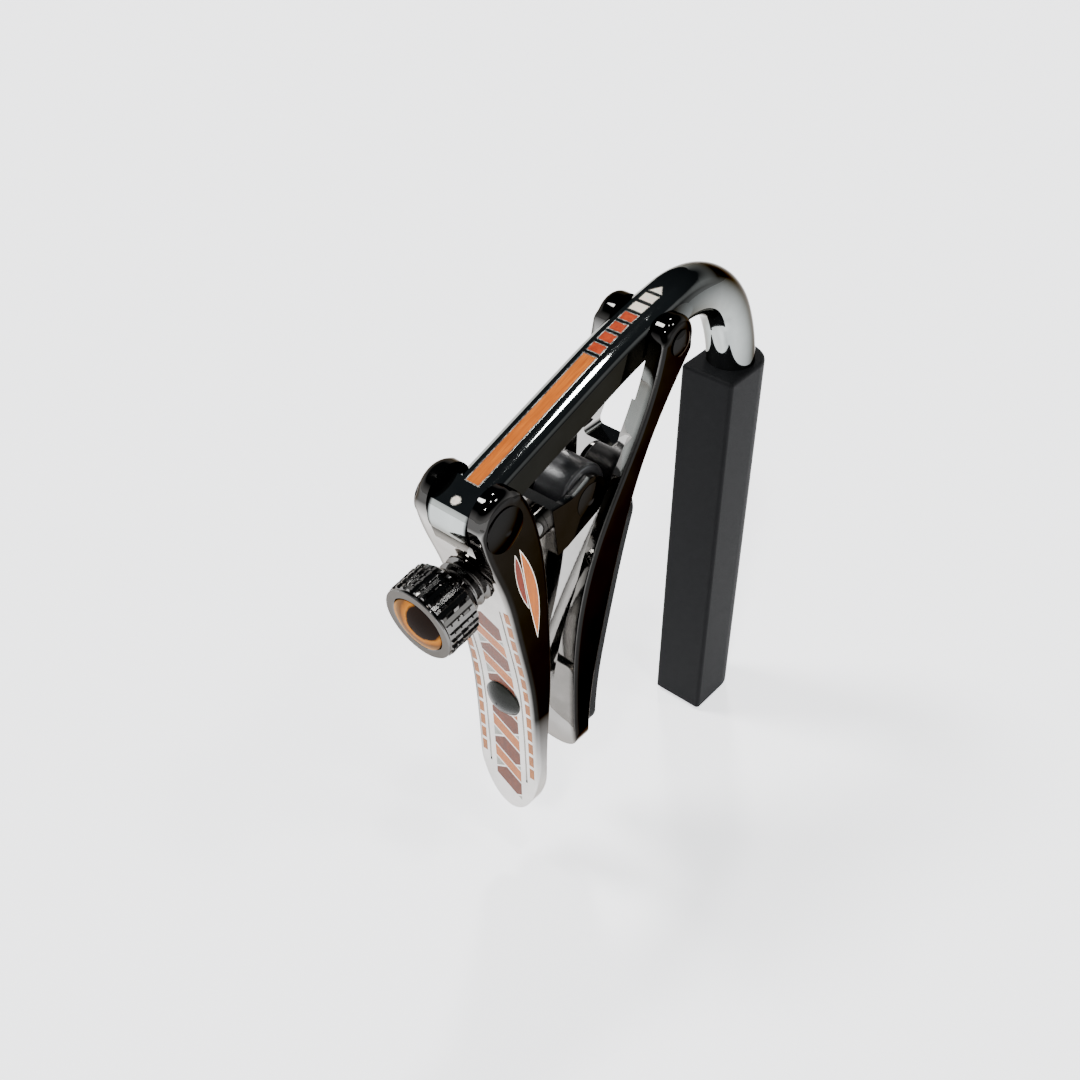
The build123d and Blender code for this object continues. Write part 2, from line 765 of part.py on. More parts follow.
with BuildPart() as neck_rest_pad:
    with BuildSketch(rest_plane):
        with BuildLine():
            outer_points = [shifted(point, (pad_thickness, 0)) for point in neck_points]
            Spline(*neck_points, tangents=neck_tangents)
            Line(neck_points[-1], outer_points[-1])
            Spline(*outer_points, tangents=neck_tangents)
            Line(outer_points[0], neck_points[0])
        make_face()
    extrude(amount=pad_half_width, both=True)
    with BuildSketch(rest_front_plane):
        with Locations((0, -(pad_start + pad_end) / 2)):
            RectangleRounded(2 * pad_half_width, pad_end - pad_start, pad_corner)
    extrude(amount=4 * cutter_reach, mode=Mode.INTERSECT)
neck_rest_pad.part.label = "neck_rest_pad"
export_step(neck_rest_pad.part, "parts/neck_rest_pad.step")

with BuildPart() as neck_rest_pin:
    add(headed_pin(rest_plane, rest_pin_radius, rest_half_width, rest_pin_head_radius, rest_pin_head_height))
neck_rest_pin.part.label = "neck_rest_pin"
export_step(neck_rest_pin.part, "parts/neck_rest_pin.step")

# --- roller, its pin and the carriage on the screw's end ---
web_front = -(roller_radius + carriage_web_gap)
web_back = web_front - carriage_web
carriage_inner = roller_half_width + flat_clearance / 2
carriage_outer = carriage_inner + carriage_wall


def stud_outline(clearance):
    """The screw's riveted end inside the carriage's web, as half a section."""
    flare = web_front - (stud_head_radius - stud_radius)
    return [
        (web_back, 0),
        (web_back, stud_radius + clearance),
        (flare - clearance, stud_radius + clearance),
        (web_front, stud_head_radius + clearance),
        (web_front, 0),
    ]


with BuildPart() as roller:
    with BuildSketch(screw_plane):
        Circle(roller_radius)
        Circle(roller_pin_radius + running_clearance, mode=Mode.SUBTRACT)
    extrude(amount=roller_half_width, both=True)
    fillet(roller.edges().filter_by(GeomType.CIRCLE).group_by(SortBy.RADIUS)[-1], roller_edge)
roller.part.label = "roller"
export_step(roller.part, "parts/roller.step")

with BuildPart() as roller_pin:
    add(
        headed_pin(
            screw_plane, roller_pin_radius, carriage_outer, roller_pin_head_radius, roller_pin_head_height
        )
    )
roller_pin.part.label = "roller_pin"
export_step(roller_pin.part, "parts/roller_pin.step")

with BuildPart() as roller_carriage:
    with BuildSketch(screw_plane):
        with BuildLine():
            boss_top = polar((0, 0), carriage_boss, boss_top_angle)
            boss_foot = polar((0, 0), carriage_boss, boss_foot_angle)
            shoulder = (web_front, carriage_top - shoulder_drop)
            Polyline((web_front, -carriage_foot), (web_back, -carriage_foot), (web_back, carriage_top), shoulder)
            Spline(shoulder, saddle, boss_top, tangents=[(1, -0.3), (1, 0.1)])
            CenterArc((0, 0), carriage_boss, boss_foot_angle, boss_top_angle - boss_foot_angle)
            Line(boss_foot, (web_front, -carriage_foot))
        make_face()
    extrude(amount=carriage_outer, both=True)
    with BuildSketch(screw_plane):
        with Locations((cutter_reach / 2 + web_front, 0)):
            Rectangle(cutter_reach, 2 * cutter_reach)
    extrude(amount=carriage_inner, both=True, mode=Mode.SUBTRACT)
    with BuildSketch(screw_plane):
        Circle(roller_pin_radius)
    extrude(amount=cutter_reach, both=True, mode=Mode.SUBTRACT)
    with BuildSketch(screw_plane):
        with BuildLine():
            Polyline(*stud_outline(running_clearance), close=True)
        make_face()
    revolve(axis=screw_line, mode=Mode.SUBTRACT)
roller_carriage.part.label = "roller_carriage"
export_step(roller_carriage.part, "parts/roller_carriage.step")

# --- thumbscrew: grooved shank, knurled knob and its stone ---
thread_end = web_back - screw_neck_length
groove_count = int((thread_end + knob_offset) / screw_pitch)
thread_outline = [(-knob_offset, 0), (-knob_offset, screw_root_radius)]
for turn in range(groove_count):
    groove = thread_end - (groove_count - turn) * screw_pitch
    thread_outline.append((groove, screw_root_radius))
    thread_outline.append((groove + screw_pitch * crest_start, screw_radius))
    thread_outline.append((groove + screw_pitch * crest_end, screw_radius))
thread_outline.append((thread_end, screw_root_radius))
with BuildPart() as thumbscrew:
    with BuildSketch(screw_plane):
        with BuildLine():
            Polyline(
                *thread_outline,
                (thread_end, screw_neck_radius),
                (web_back, screw_neck_radius),
                *stud_outline(0)[1:],
                close=True,
            )
        make_face()
    revolve(axis=screw_line)
thumbscrew.part.label = "thumbscrew"
export_step(thumbscrew.part, "parts/thumbscrew.step")

knob_face = screw_end_plane.offset(knob_length)
with BuildPart() as thumbscrew_knob:
    with BuildSketch(screw_end_plane):
        Circle(knob_radius)
    extrude(amount=knob_length)
    chamfer(thumbscrew_knob.edges().filter_by(GeomType.CIRCLE), knob_edge)
    with BuildSketch(screw_end_plane):
        with PolarLocations(knob_radius, knurl_count):
            Rectangle(knurl_width, knurl_width, rotation=45)
    extrude(amount=knob_length, mode=Mode.SUBTRACT)
    with BuildSketch(knob_face):
        Circle(knob_stone_radius)
    extrude(amount=-knob_stone_depth, mode=Mode.SUBTRACT)
thumbscrew_knob.part.label = "thumbscrew_knob"
export_step(thumbscrew_knob.part, "parts/thumbscrew_knob.step")

with BuildPart() as knob_stone:
    add(domed_disc(knob_face, knob_stone_radius, knob_stone_depth, knob_stone_rise))
knob_stone.part.label = "knob_stone"
export_step(knob_stone.part, "parts/knob_stone.step")
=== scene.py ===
import json
import random
from math import atan2, cos, degrees, hypot, pi, radians, sin

import bmesh
import bpy
from mathutils import Matrix, Vector


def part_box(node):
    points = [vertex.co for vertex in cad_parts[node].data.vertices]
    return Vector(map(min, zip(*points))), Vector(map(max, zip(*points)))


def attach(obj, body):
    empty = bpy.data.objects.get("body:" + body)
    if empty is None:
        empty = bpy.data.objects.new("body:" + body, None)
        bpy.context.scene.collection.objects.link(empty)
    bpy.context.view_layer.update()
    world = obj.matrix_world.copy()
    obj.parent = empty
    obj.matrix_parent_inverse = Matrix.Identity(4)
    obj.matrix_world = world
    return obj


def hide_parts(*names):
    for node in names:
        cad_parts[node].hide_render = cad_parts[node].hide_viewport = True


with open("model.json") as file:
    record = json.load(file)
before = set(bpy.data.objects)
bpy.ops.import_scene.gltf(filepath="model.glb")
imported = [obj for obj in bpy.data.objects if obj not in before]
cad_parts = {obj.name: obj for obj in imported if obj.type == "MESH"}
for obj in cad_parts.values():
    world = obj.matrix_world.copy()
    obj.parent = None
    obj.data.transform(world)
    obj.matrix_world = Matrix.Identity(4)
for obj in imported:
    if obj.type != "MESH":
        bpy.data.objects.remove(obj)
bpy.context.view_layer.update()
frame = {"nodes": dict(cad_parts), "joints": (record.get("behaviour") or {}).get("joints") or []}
nodes = frame["nodes"]
joints = {joint["name"]: joint for joint in frame["joints"]}
mm = 0.001
mergeWithin = 0.002 * mm  # a node's triangles are loose, and their points are merged in a copy
print("frame loaded:", len(nodes), "nodes")

cameraView = {
    "place": (-0.1168, -0.0734, 0.1147),
    "tilt": 50.5,
    "turn": -49.5,
    "lens": 44.4,
    "sensor": 36,
    "nearest": 0.005,
}

cameraData = bpy.data.cameras.new("camera")
cameraData.lens = cameraView["lens"]
cameraData.sensor_width = cameraView["sensor"]
cameraData.clip_start = cameraView["nearest"]
camera = bpy.data.objects.new("camera", cameraData)
camera.location = cameraView["place"]
camera.rotation_euler = (radians(cameraView["tilt"]), 0, radians(cameraView["turn"]))
bpy.context.scene.collection.objects.link(camera)
bpy.context.scene.camera = camera
print("camera set")


def plug(tree, socket, value):
    if isinstance(value, bpy.types.NodeSocket):
        tree.links.new(value, socket)
    else:
        socket.default_value = value


def addNode(tree, kind, settings=None, **inputs):
    node = tree.nodes.new(kind)
    for name, value in (settings or {}).items():
        setattr(node, name, value)
    for name, value in inputs.items():
        plug(tree, node.inputs[name.replace("_", " ")], value)
    return node


def calculate(tree, operation, *values):
    node = addNode(tree, "ShaderNodeMath", {"operation": operation})
    for socket, value in zip(node.inputs, values):
        plug(tree, socket, value)
    return node.outputs["Value"]


def calculateVector(tree, operation, *values, result="Vector"):
    node = addNode(tree, "ShaderNodeVectorMath", {"operation": operation})
    for socket, value in zip(node.inputs, values):
        plug(tree, socket, value)
    return node.outputs[result]


def shareBetween(tree, value, low, high, most=1.0):
    # nothing up to the low value, and the most from the high one on
    mapped = addNode(
        tree, "ShaderNodeMapRange", Value=value, From_Min=low, From_Max=high, To_Max=most
    )
    return mapped.outputs["Result"]


def colourRamp(tree, factor, stops):
    ramp = addNode(tree, "ShaderNodeValToRGB", Fac=factor)
    elements = ramp.color_ramp.elements
    for element, (position, colour) in zip((elements[0], elements[1]), (stops[0], stops[-1])):
        element.position, element.color = position, (*colour, 1)
    for position, colour in stops[1:-1]:
        elements.new(position).color = (*colour, 1)
    return ramp.outputs["Color"]


def twoTone(tree, factor, low, high, start=0.3, end=0.7):
    return colourRamp(tree, factor, [(start, low), (end, high)])


def shade(colour, amount):
    return tuple(c * amount for c in colour)


def grey(value):
    return (value, value, value)


def startMaterial(name, **shader):
    material = bpy.data.materials.new(name)
    material.use_nodes = True
    tree = material.node_tree
    bsdf = tree.nodes["Principled BSDF"]
    for key, value in shader.items():
        bsdf.inputs[key.replace("_", " ")].default_value = value
    return material, tree, bsdf


def objectSpace(tree, scale=(1, 1, 1), place=(0, 0, 0)):
    where = addNode(tree, "ShaderNodeTexCoord").outputs["Object"]
    mapped = addNode(tree, "ShaderNodeMapping", Vector=where, Scale=scale, Location=place)
    return mapped.outputs["Vector"]


def millimetresFrom(tree, centre):
    return objectSpace(tree, (1 / mm, 1 / mm, 1 / mm), tuple(-c / mm for c in centre))


def noise(tree, vector, scale, detail=2.0, roughness=0.5):
    made = addNode(
        tree, "ShaderNodeTexNoise", Vector=vector, Scale=scale, Detail=detail, Roughness=roughness
    )
    return made.outputs["Fac"]


def addBump(tree, bsdf, height, distance):
    raised = addNode(tree, "ShaderNodeBump", Height=height, Distance=distance, Strength=1.0)
    plug(tree, bsdf.inputs["Normal"], raised.outputs["Normal"])


# polished black chrome: smudges in the colour and gloss, and hairline polishing marks
chrome = {
    "gloss": (0.03, 0.07),
    "smudge": 240.0,
    "smudgeShade": 0.86,
    "hairlines": 5200.0,
    "hairlineDepth": 0.0000007,
    "edgeTint": (0.42, 0.4, 0.38, 1),
    "warm": (1, 0.98, 0.95),
    # how dark the painted dark reflection on the ear tops gets
    "paintedHeadDepth": 0.95,
}


def makeChrome(
    name, front, paintedDarkTone, paintedDarkAt, direction=(1, 1, 0.06), rougher=1.0, tint=chrome["warm"],
    crown=None, paintedPaleFoot=None, paintedDarkHead=None,
):
    # the first tone is how pale the plating is near the middle plane, and the second is a painted
    # dark reflection out at the sides; the next two distances from that plane, in mm, are where one
    # changes to the other
    material, tree, bsdf = startMaterial(name, Metallic=1.0, Specular_Tint=chrome["edgeTint"])
    smudge = noise(tree, objectSpace(tree), chrome["smudge"], 4.0, 0.6)
    spot = addNode(tree, "ShaderNodeSeparateXYZ", Vector=millimetresFrom(tree, (0, 0, 0))).outputs
    # painted reflection: the plating turns dark out at the sides, as if it mirrored dark surroundings
    paintedReflectionShare = shareBetween(tree, calculate(tree, "ABSOLUTE", spot["Y"]), *paintedDarkAt)
    # painted reflection: the crown is painted pale inside its bend and dark outside
    if crown:  # the flats end at the crown, which is pale inside its bend and deep outside
        nearCrown = shareBetween(tree, spot["X"], *crown["startsAt"])
        flats = calculate(tree, "MULTIPLY", paintedReflectionShare, calculate(tree, "SUBTRACT", 1.0, nearCrown))
        sideView = objectSpace(tree, (1 / mm, 0, 1 / mm))
        fromMiddle = calculateVector(tree, "SUBTRACT", sideView, crown["middle"])
        bend = calculateVector(tree, "LENGTH", fromMiddle, result="Value")
        outside = calculate(tree, "MULTIPLY", nearCrown, shareBetween(tree, bend, *crown["paintedDarkBetween"]))
        paintedReflectionShare = calculate(tree, "ADD", flats, outside)
    # painted reflection: the painted dark on the flanks gives way to pale plating towards the foot
    if paintedPaleFoot:  # the flanks turn pale again towards the foot, between two heights
        paintedReflectionShare = calculate(tree, "MULTIPLY", paintedReflectionShare, shareBetween(tree, spot["Z"], *paintedPaleFoot))
    # painted reflection: the ear tops are painted dark above two heights
    if paintedDarkHead:  # the tops of the ears are deep all round, above two heights
        head = shareBetween(tree, spot["Z"], *paintedDarkHead, chrome["paintedHeadDepth"])
        paintedReflectionShare = calculate(tree, "MAXIMUM", paintedReflectionShare, head)
    platingAndPaintedDark = []
    for tone in (front, paintedDarkTone):
        light = shade(tint, tone)
        platingAndPaintedDark.append(twoTone(tree, smudge, shade(light, chrome["smudgeShade"]), light))
    mixed = addNode(tree, "ShaderNodeMixRGB", Fac=paintedReflectionShare, Color1=platingAndPaintedDark[0], Color2=platingAndPaintedDark[1])
    plug(tree, bsdf.inputs["Base Color"], mixed.outputs["Color"])
    fine, coarse = (grey(gloss * rougher) for gloss in chrome["gloss"])
    plug(tree, bsdf.inputs["Roughness"], twoTone(tree, smudge, fine, coarse, 0.3, 0.75))
    lines = noise(tree, objectSpace(tree, direction), chrome["hairlines"])
    addBump(tree, bsdf, lines, chrome["hairlineDepth"])
    return material


def makeRubber(name, colour, grain, depth, roughness):
    # cloudy in its colour, and finely grained in its surface
    material, tree, bsdf = startMaterial(name, Specular_IOR_Level=0.07)
    cloud = noise(tree, objectSpace(tree), grain * 0.08, 3.0)
    clouded = twoTone(tree, cloud, shade(colour, 0.88), shade(colour, 1.12))
    plug(tree, bsdf.inputs["Base Color"], clouded)
    speckle = noise(tree, objectSpace(tree), grain, 3.0, 0.6)
    sheen = twoTone(tree, speckle, grey(roughness * 0.85), grey(roughness * 1.1))
    plug(tree, bsdf.inputs["Roughness"], sheen)
    addBump(tree, bsdf, speckle, depth)
    return material


def makeTurnedPlastic(name, colour, centre, pitch, depth):
    # matte plastic with the fine rings that a lathe leaves round the axle
    material, tree, bsdf = startMaterial(name, Specular_IOR_Level=0.35)
    where = millimetresFrom(tree, centre)
    rings = addNode(
        tree, "ShaderNodeTexWave", {"wave_type": "RINGS", "rings_direction": "Y"},
        Vector=where, Scale=0.314 / pitch, Distortion=0.3, Detail=2.0,
    )
    speckle = noise(tree, where, 5.0, 3.0)
    speckled = twoTone(tree, speckle, shade(colour, 0.8), shade(colour, 1.2))
    plug(tree, bsdf.inputs["Base Color"], speckled)
    plug(tree, bsdf.inputs["Roughness"], twoTone(tree, speckle, grey(0.3), grey(0.4)))
    addBump(tree, bsdf, rings.outputs["Fac"], depth)
    return material


def makeEnamel(name, light, dark, direction, grain, coat=0.06):
    # streaked where its direction is short
    material, tree, bsdf = startMaterial(
        name, Coat_Weight=coat, Coat_Roughness=0.08, Specular_IOR_Level=0.1
    )
    streaks = noise(tree, objectSpace(tree, direction), grain, 4.0, 0.65)
    plug(tree, bsdf.inputs["Base Color"], twoTone(tree, streaks, dark, light, 0.32, 0.68))
    plug(tree, bsdf.inputs["Roughness"], twoTone(tree, streaks, grey(0.34), grey(0.48)))
    addBump(tree, bsdf, streaks, 0.000006)
    return material


def makePearl(name):
    # drifts between cream, pink and green
    material, tree, bsdf = startMaterial(
        name, Coat_Weight=0.4, Coat_Roughness=0.04, Metallic=0.2, Roughness=0.3
    )
    drift = addNode(
        tree, "ShaderNodeTexNoise", Vector=objectSpace(tree), Scale=1400.0, Detail=3.0, Distortion=1.6
    )
    tones = [
        (0.28, (0.42, 0.42, 0.38)),
        (0.42, (0.68, 0.62, 0.52)),
        (0.52, (0.72, 0.56, 0.48)),
        (0.62, (0.54, 0.6, 0.5)),
        (0.75, (0.76, 0.7, 0.6)),
    ]
    plug(tree, bsdf.inputs["Base Color"], colourRamp(tree, drift.outputs["Fac"], tones))
    return material


def makeBandedStone(name, stone):
    # bands go round a point, out to a reach in mm, and waver as the fibres of the stone do
    material, tree, bsdf = startMaterial(
        name, Coat_Weight=stone["coat"], Coat_Roughness=0.02, Coat_IOR=stone["coatIor"],
        Specular_IOR_Level=stone["gloss"],
    )
    where = millimetresFrom(tree, stone["centre"])
    wander = addNode(tree, "ShaderNodeTexNoise", Vector=where, Scale=0.9, Detail=4.0, Roughness=0.6)
    shifted = calculateVector(tree, "SUBTRACT", wander.outputs["Color"], grey(0.5))
    moved = calculateVector(tree, "MULTIPLY_ADD", shifted, grey(stone["waver"]), where)
    outward = calculateVector(tree, "LENGTH", moved, result="Value")
    share = shareBetween(tree, outward, 0.0, stone["reach"])
    plug(tree, bsdf.inputs["Base Color"], colourRamp(tree, share, stone["bands"]))
    silk = noise(tree, objectSpace(tree, (1, 0.15, 1)), 4200.0)
    plug(tree, bsdf.inputs["Roughness"], twoTone(tree, silk, grey(0.2), grey(0.36)))
    return material


def middleOf(node):
    return sum((Vector(corner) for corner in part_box(node)), Vector()) / 2


# where along X the crown's painted reflection starts, the middle of its bend, and the distances
# from there between which its pale turns to painted dark, all in mm
crownPaintedReflection = {"startsAt": (-12.0, -3.0), "middle": (-7.7, 0, 30.2), "paintedDarkBetween": (9.0, 13.8)}

onyx = {
    "bands": [
        (0.0, (0.004, 0.005, 0.004)),
        (0.55, (0.008, 0.009, 0.007)),
        (0.8, (0.02, 0.022, 0.015)),
        (1.0, (0.01, 0.01, 0.008)),
    ],
    "centre": middleOf("handle_stone"),
    "reach": 4.5,
    "waver": 1.2,
    "coat": 0.16,
    "gloss": 0.06,
    "coatIor": 1.5,
}

tigerEye = {
    "bands": [
        (0.0, (0.004, 0.002, 0.001)),
        (0.42, (0.007, 0.0025, 0.001)),
        (0.47, (0.36, 0.13, 0.014)),
        (0.54, (0.27, 0.09, 0.01)),
        (0.60, (0.11, 0.045, 0.012)),
        (0.72, (0.16, 0.075, 0.022)),
        (0.82, (0.40, 0.17, 0.03)),
        (0.93, (0.30, 0.12, 0.016)),
        (1.0, (0.05, 0.018, 0.005)),
    ],
    # partly the stone's own banding, partly a painted sheen: the middle is moved off-centre to where
    # the camera sees the dark middle and bright chatoyant rings
    "centre": middleOf("knob_stone") + Vector((0, -1.25 * mm, 1.25 * mm)),
    "reach": 5.2,
    "waver": 0.5,
    "coat": 0.14,
    "gloss": 0.0,
    "coatIor": 1.35,
}

pinPolish = (1, 0.1, 1)  # a small number draws the hairlines or streaks out along that axis
leafGrain = (1, 1, 0.12)
handleGrain = (1, 1, 0.5)
# in each chrome below, the first tone is the plating near the middle plane and the second a painted
# dark reflection on the flanks
finishes = {
    "main_bar": makeChrome(
        "blackChrome", 0.42, 0.015, (2.2, 2.55), tint=(0.94, 1, 0.98), crown=crownPaintedReflection
    ),
    "lever": makeChrome(
        "leverChrome", 0.62, 0.012, (3.8, 4.7), paintedPaleFoot=(-12, 1), paintedDarkHead=(31, 33.5)
    ),
    "lever_pin": makeChrome("pinChrome", 0.3, 0.01, (4.0, 4.9), pinPolish, 1.3),
    "neck_rest": makeChrome("restChrome", 0.34, 0.012, (3.9, 4.75), paintedDarkHead=(39, 41.5)),
    "neck_rest_pin": makeChrome("restPinChrome", 0.3, 0.013, (4.0, 4.9), pinPolish, 1.3),
    "roller_pin": makeChrome("rollerPinChrome", 0.25, 0.012, (2.6, 3.1), pinPolish, 1.5),
    "roller_carriage": makeChrome("carriageChrome", 0.3, 0.014, (2.6, 3.1), (0.1, 1, 1), 1.6),
    "string_sleeve": makeRubber("sleeveRubber", (0.0035, 0.0037, 0.0042), 9000.0, 0.00002, 0.62),
    "neck_rest_pad": makeRubber("padRubber", (0.004, 0.004, 0.0043), 6000.0, 0.00002, 0.7),
    "roller": makeTurnedPlastic(
        "rollerPlastic", (0.007, 0.007, 0.008), middleOf("roller"), 0.16, 0.000006
    ),
    "leg_inlay_strip": makeEnamel(
        "orangeEnamel", (0.5, 0.122, 0.003), (0.26, 0.05, 0.002), (0.05, 1, 0.05), 5600.0
    ),
    "leg_inlay_red": makeEnamel(
        "redEnamel", (0.36, 0.036, 0.002), (0.18, 0.014, 0.001), (1, 1, 1), 1500.0
    ),
    "leg_inlay_pearl": makePearl("pearl"),
    "leg_inlay_dot": makePearl("pearlDot"),
    "cheek_leaf_orange": makeEnamel(
        "leafOrange", (0.46, 0.112, 0.001), (0.31, 0.068, 0.001), leafGrain, 2600.0, 0.02
    ),
    "cheek_leaf_red": makeEnamel(
        "leafRed", (0.19, 0.018, 0.0005), (0.1, 0.008, 0.0005), leafGrain, 2200.0, 0.02
    ),
    "handle_inlay_bars": makeEnamel(
        "salmonEnamel", (0.40, 0.135, 0.042), (0.29, 0.09, 0.027), handleGrain, 1500.0
    ),
    "handle_inlay_short_bars": makeEnamel(
        "brownEnamel", (0.135, 0.042, 0.023), (0.075, 0.022, 0.012), handleGrain, 1500.0
    ),
    "handle_inlay_triangles": makeEnamel(
        "greyEnamel", (0.30, 0.30, 0.27), (0.2, 0.2, 0.18), handleGrain, 1500.0
    ),
    "handle_inlay_dashes": makeEnamel(
        "dashEnamel", (0.34, 0.125, 0.038), (0.2, 0.068, 0.02), handleGrain, 1500.0
    ),
    "handle_stone": makeBandedStone("onyx", onyx),
    "knob_stone": makeBandedStone("tigerEye", tigerEye),
}

for node, finish in finishes.items():
    mesh = nodes[node].data
    for index in range(len(mesh.materials)):
        mesh.materials[index] = finish
print("finishes on", len(finishes), "nodes")


def addPiece(name, bm, body, slot, finish, replaced=(), sharpAngle=32):
    mesh = bpy.data.meshes.new(name)
    bm.to_mesh(mesh)
    bm.free()
    if "custom_normal" in mesh.attributes:
        mesh.attributes.remove(mesh.attributes["custom_normal"])
    mesh.materials.clear()
    mesh.materials.append(finish)
    mesh.polygons.foreach_set("material_index", [0] * len(mesh.polygons))
    mesh.polygons.foreach_set("use_smooth", [True] * len(mesh.polygons))
    mesh.set_sharp_from_angle(angle=radians(sharpAngle))
    piece = bpy.data.objects.new(name, mesh)
    bpy.context.scene.collection.objects.link(piece)
    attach(piece, body)
    if replaced:
        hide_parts(*replaced)
    return piece


def copyNode(node):
    bm = bmesh.new()
    bm.from_mesh(nodes[node].data)
    bmesh.ops.remove_doubles(bm, verts=bm.verts, dist=mergeWithin)
    return bm


def boundaryAt(bm, x):
    return [e for e in bm.edges if e.is_boundary and all(abs(v.co.x - x) < 1e-4 for v in e.verts)]


def addRing(bm, x, radius, segments):
    upright = Matrix.Translation((x, 0, 0)) @ Matrix.Rotation(pi / 2, 4, "Y")
    made = bmesh.ops.create_circle(bm, radius=radius, segments=segments, matrix=upright)
    return list({e for v in made["verts"] for e in v.link_edges})


def carryOn(bm, ring, x, radius):
    # extrudes a ring of edges to a new place and size along X
    made = bmesh.ops.extrude_edge_only(bm, edges=ring)["geom"]
    verts = [g for g in made if isinstance(g, bmesh.types.BMVert)]
    old = Vector((verts[0].co.y, verts[0].co.z)).length
    bmesh.ops.scale(bm, verts=verts, vec=(1, radius / old, radius / old))
    for v in verts:
        v.co.x = x
    moved = set(verts)
    return [g for g in made if isinstance(g, bmesh.types.BMEdge) and set(g.verts) <= moved]


# the screw's axis points out to the knob, and its pieces are made along X in millimetres
screwAxis = Vector(joints["screw_turn"]["axis"])
screwSeat = Vector(joints["screw_turn"]["pos_m"])
across = Vector((0, 1, 0))
alongScrew = Matrix((screwAxis, across, screwAxis.cross(across))).transposed().to_4x4()
onScrew = Matrix.Translation(screwSeat) @ alongScrew @ Matrix.Scale(mm, 4)

screwShape = {
    "pitch": 1.0,
    "root": 2.4,
    "crest": 2.94,
    "tooth": ((0, "root"), (0.14, "root"), (0.5, "crest"), (0.64, "crest"), (1.0, "root")),
    "threadStart": 8.1,
    "threadEnd": 19.3,
    "neck": ((8.1, 2.1), (5.94, 2.1), (5.94, 1.39), (5.02, 1.39), (4.32, 2.09)),
    "steps": 40,
}
screwFinish = makeChrome("screwChrome", 0.12, 0.12, (2, 4), (1, 1, 1), 1.8)
pitch, steps = screwShape["pitch"], screwShape["steps"]
firstTurn = screwShape["threadStart"] - 2 * pitch
turns = int(screwShape["threadEnd"] - firstTurn) + 2
bm = bmesh.new()
profile = []
for part, level in screwShape["tooth"]:
    profile.append(bm.verts.new((firstTurn + part * pitch, screwShape[level], 0)))
bmesh.ops.spin(
    bm,
    geom=profile + [bm.edges.new(pair) for pair in zip(profile, profile[1:])],
    cent=(0, 0, 0),
    axis=(1, 0, 0),
    dvec=(pitch / steps, 0, 0),
    angle=2 * pi * turns,
    steps=steps * turns,
)
bmesh.ops.remove_doubles(bm, verts=bm.verts, dist=1e-4)
for plane, inner in ((screwShape["threadStart"], True), (screwShape["threadEnd"], False)):
    bmesh.ops.bisect_plane(
        bm,
        geom=bm.verts[:] + bm.edges[:] + bm.faces[:],
        plane_co=(plane, 0, 0),
        plane_no=(1, 0, 0),
        clear_inner=inner,
        clear_outer=not inner,
    )
bmesh.ops.holes_fill(bm, edges=boundaryAt(bm, screwShape["threadEnd"]), sides=0)
threadFoot = boundaryAt(bm, screwShape["threadStart"])
ring = addRing(bm, *screwShape["neck"][0], steps)
bmesh.ops.bridge_loops(bm, edges=threadFoot + ring)
for x, radius in screwShape["neck"][1:]:
    ring = carryOn(bm, ring, x, radius)
bmesh.ops.holes_fill(bm, edges=ring, sides=0)
bmesh.ops.recalc_face_normals(bm, faces=bm.faces)
bmesh.ops.transform(bm, matrix=onScrew, verts=bm.verts)
addPiece("screwThread", bm, "screw", "screw_chrome", screwFinish, ["thumbscrew"])
print("screw cut")

knobShape = {
    "segments": 56,
    "back": ((19.3, 3.0), (19.3, 4.05), (19.62, 4.36)),
    "rows": (20.35, 21.25, 22.05, 22.95, 23.66),
    "sideRadius": 4.36,
    "rim": ((23.72, 4.3), (23.84, 4.42), (24.02, 4.42), (24.1, 4.34)),
    "recess": ((24.1, 3.44), (24.0, 3.32), (22.92, 3.27)),
    "toothRise": 0.26,
    "toothTaper": 0.1,
    "hammering": 0.022,
    "unevenness": 0.13,
    "seed": 5,
    "sharpAngle": 24,
}
knobFinish = makeChrome("knobChrome", 0.13, 0.13, (2, 4), (1, 1, 1), 1.5)
bm = bmesh.new()
ring = addRing(bm, *knobShape["back"][0], knobShape["segments"])
bmesh.ops.holes_fill(bm, edges=ring, sides=0)
for x, radius in knobShape["back"][1:]:
    ring = carryOn(bm, ring, x, radius)
uneven = random.Random(knobShape["seed"])
knurled = set()
for x in knobShape["rows"]:
    before = set(bm.faces)
    ring = carryOn(bm, ring, x, knobShape["sideRadius"])
    knurled |= set(bm.faces) - before
    if x != knobShape["rows"][-1]:
        for v in sorted({v for e in ring for v in e.verts}, key=lambda v: (v.co.y, v.co.z)):
            v.co.x += uneven.uniform(-1, 1) * knobShape["unevenness"]
for x, radius in knobShape["rim"] + knobShape["recess"]:
    ring = carryOn(bm, ring, x, radius)
bmesh.ops.holes_fill(bm, edges=ring, sides=0)
bmesh.ops.recalc_face_normals(bm, faces=bm.faces)
toothAngle = 2 * pi / knobShape["segments"]
teeth = []
for face in knurled:
    middle = face.calc_center_median()
    if int((atan2(middle.z, middle.y) + 2 * pi) / toothAngle) % 2:
        teeth.append(face)
teeth.sort(key=lambda f: tuple(f.calc_center_median()))
bmesh.ops.inset_individual(
    bm,
    faces=teeth,
    thickness=knobShape["toothTaper"],
    depth=knobShape["toothRise"],
    use_even_offset=True,
)
for v in (v for face in teeth for v in face.verts):
    pressed = 1 - uneven.uniform(0, 1) * knobShape["hammering"]
    v.co = Vector((v.co.x, v.co.y * pressed, v.co.z * pressed))
bmesh.ops.transform(bm, matrix=onScrew, verts=bm.verts)
addPiece(
    "knurledKnob", bm, "screw", "knob_chrome", knobFinish, ["thumbscrew_knob"],
    knobShape["sharpAngle"],
)
print("knob knurled")

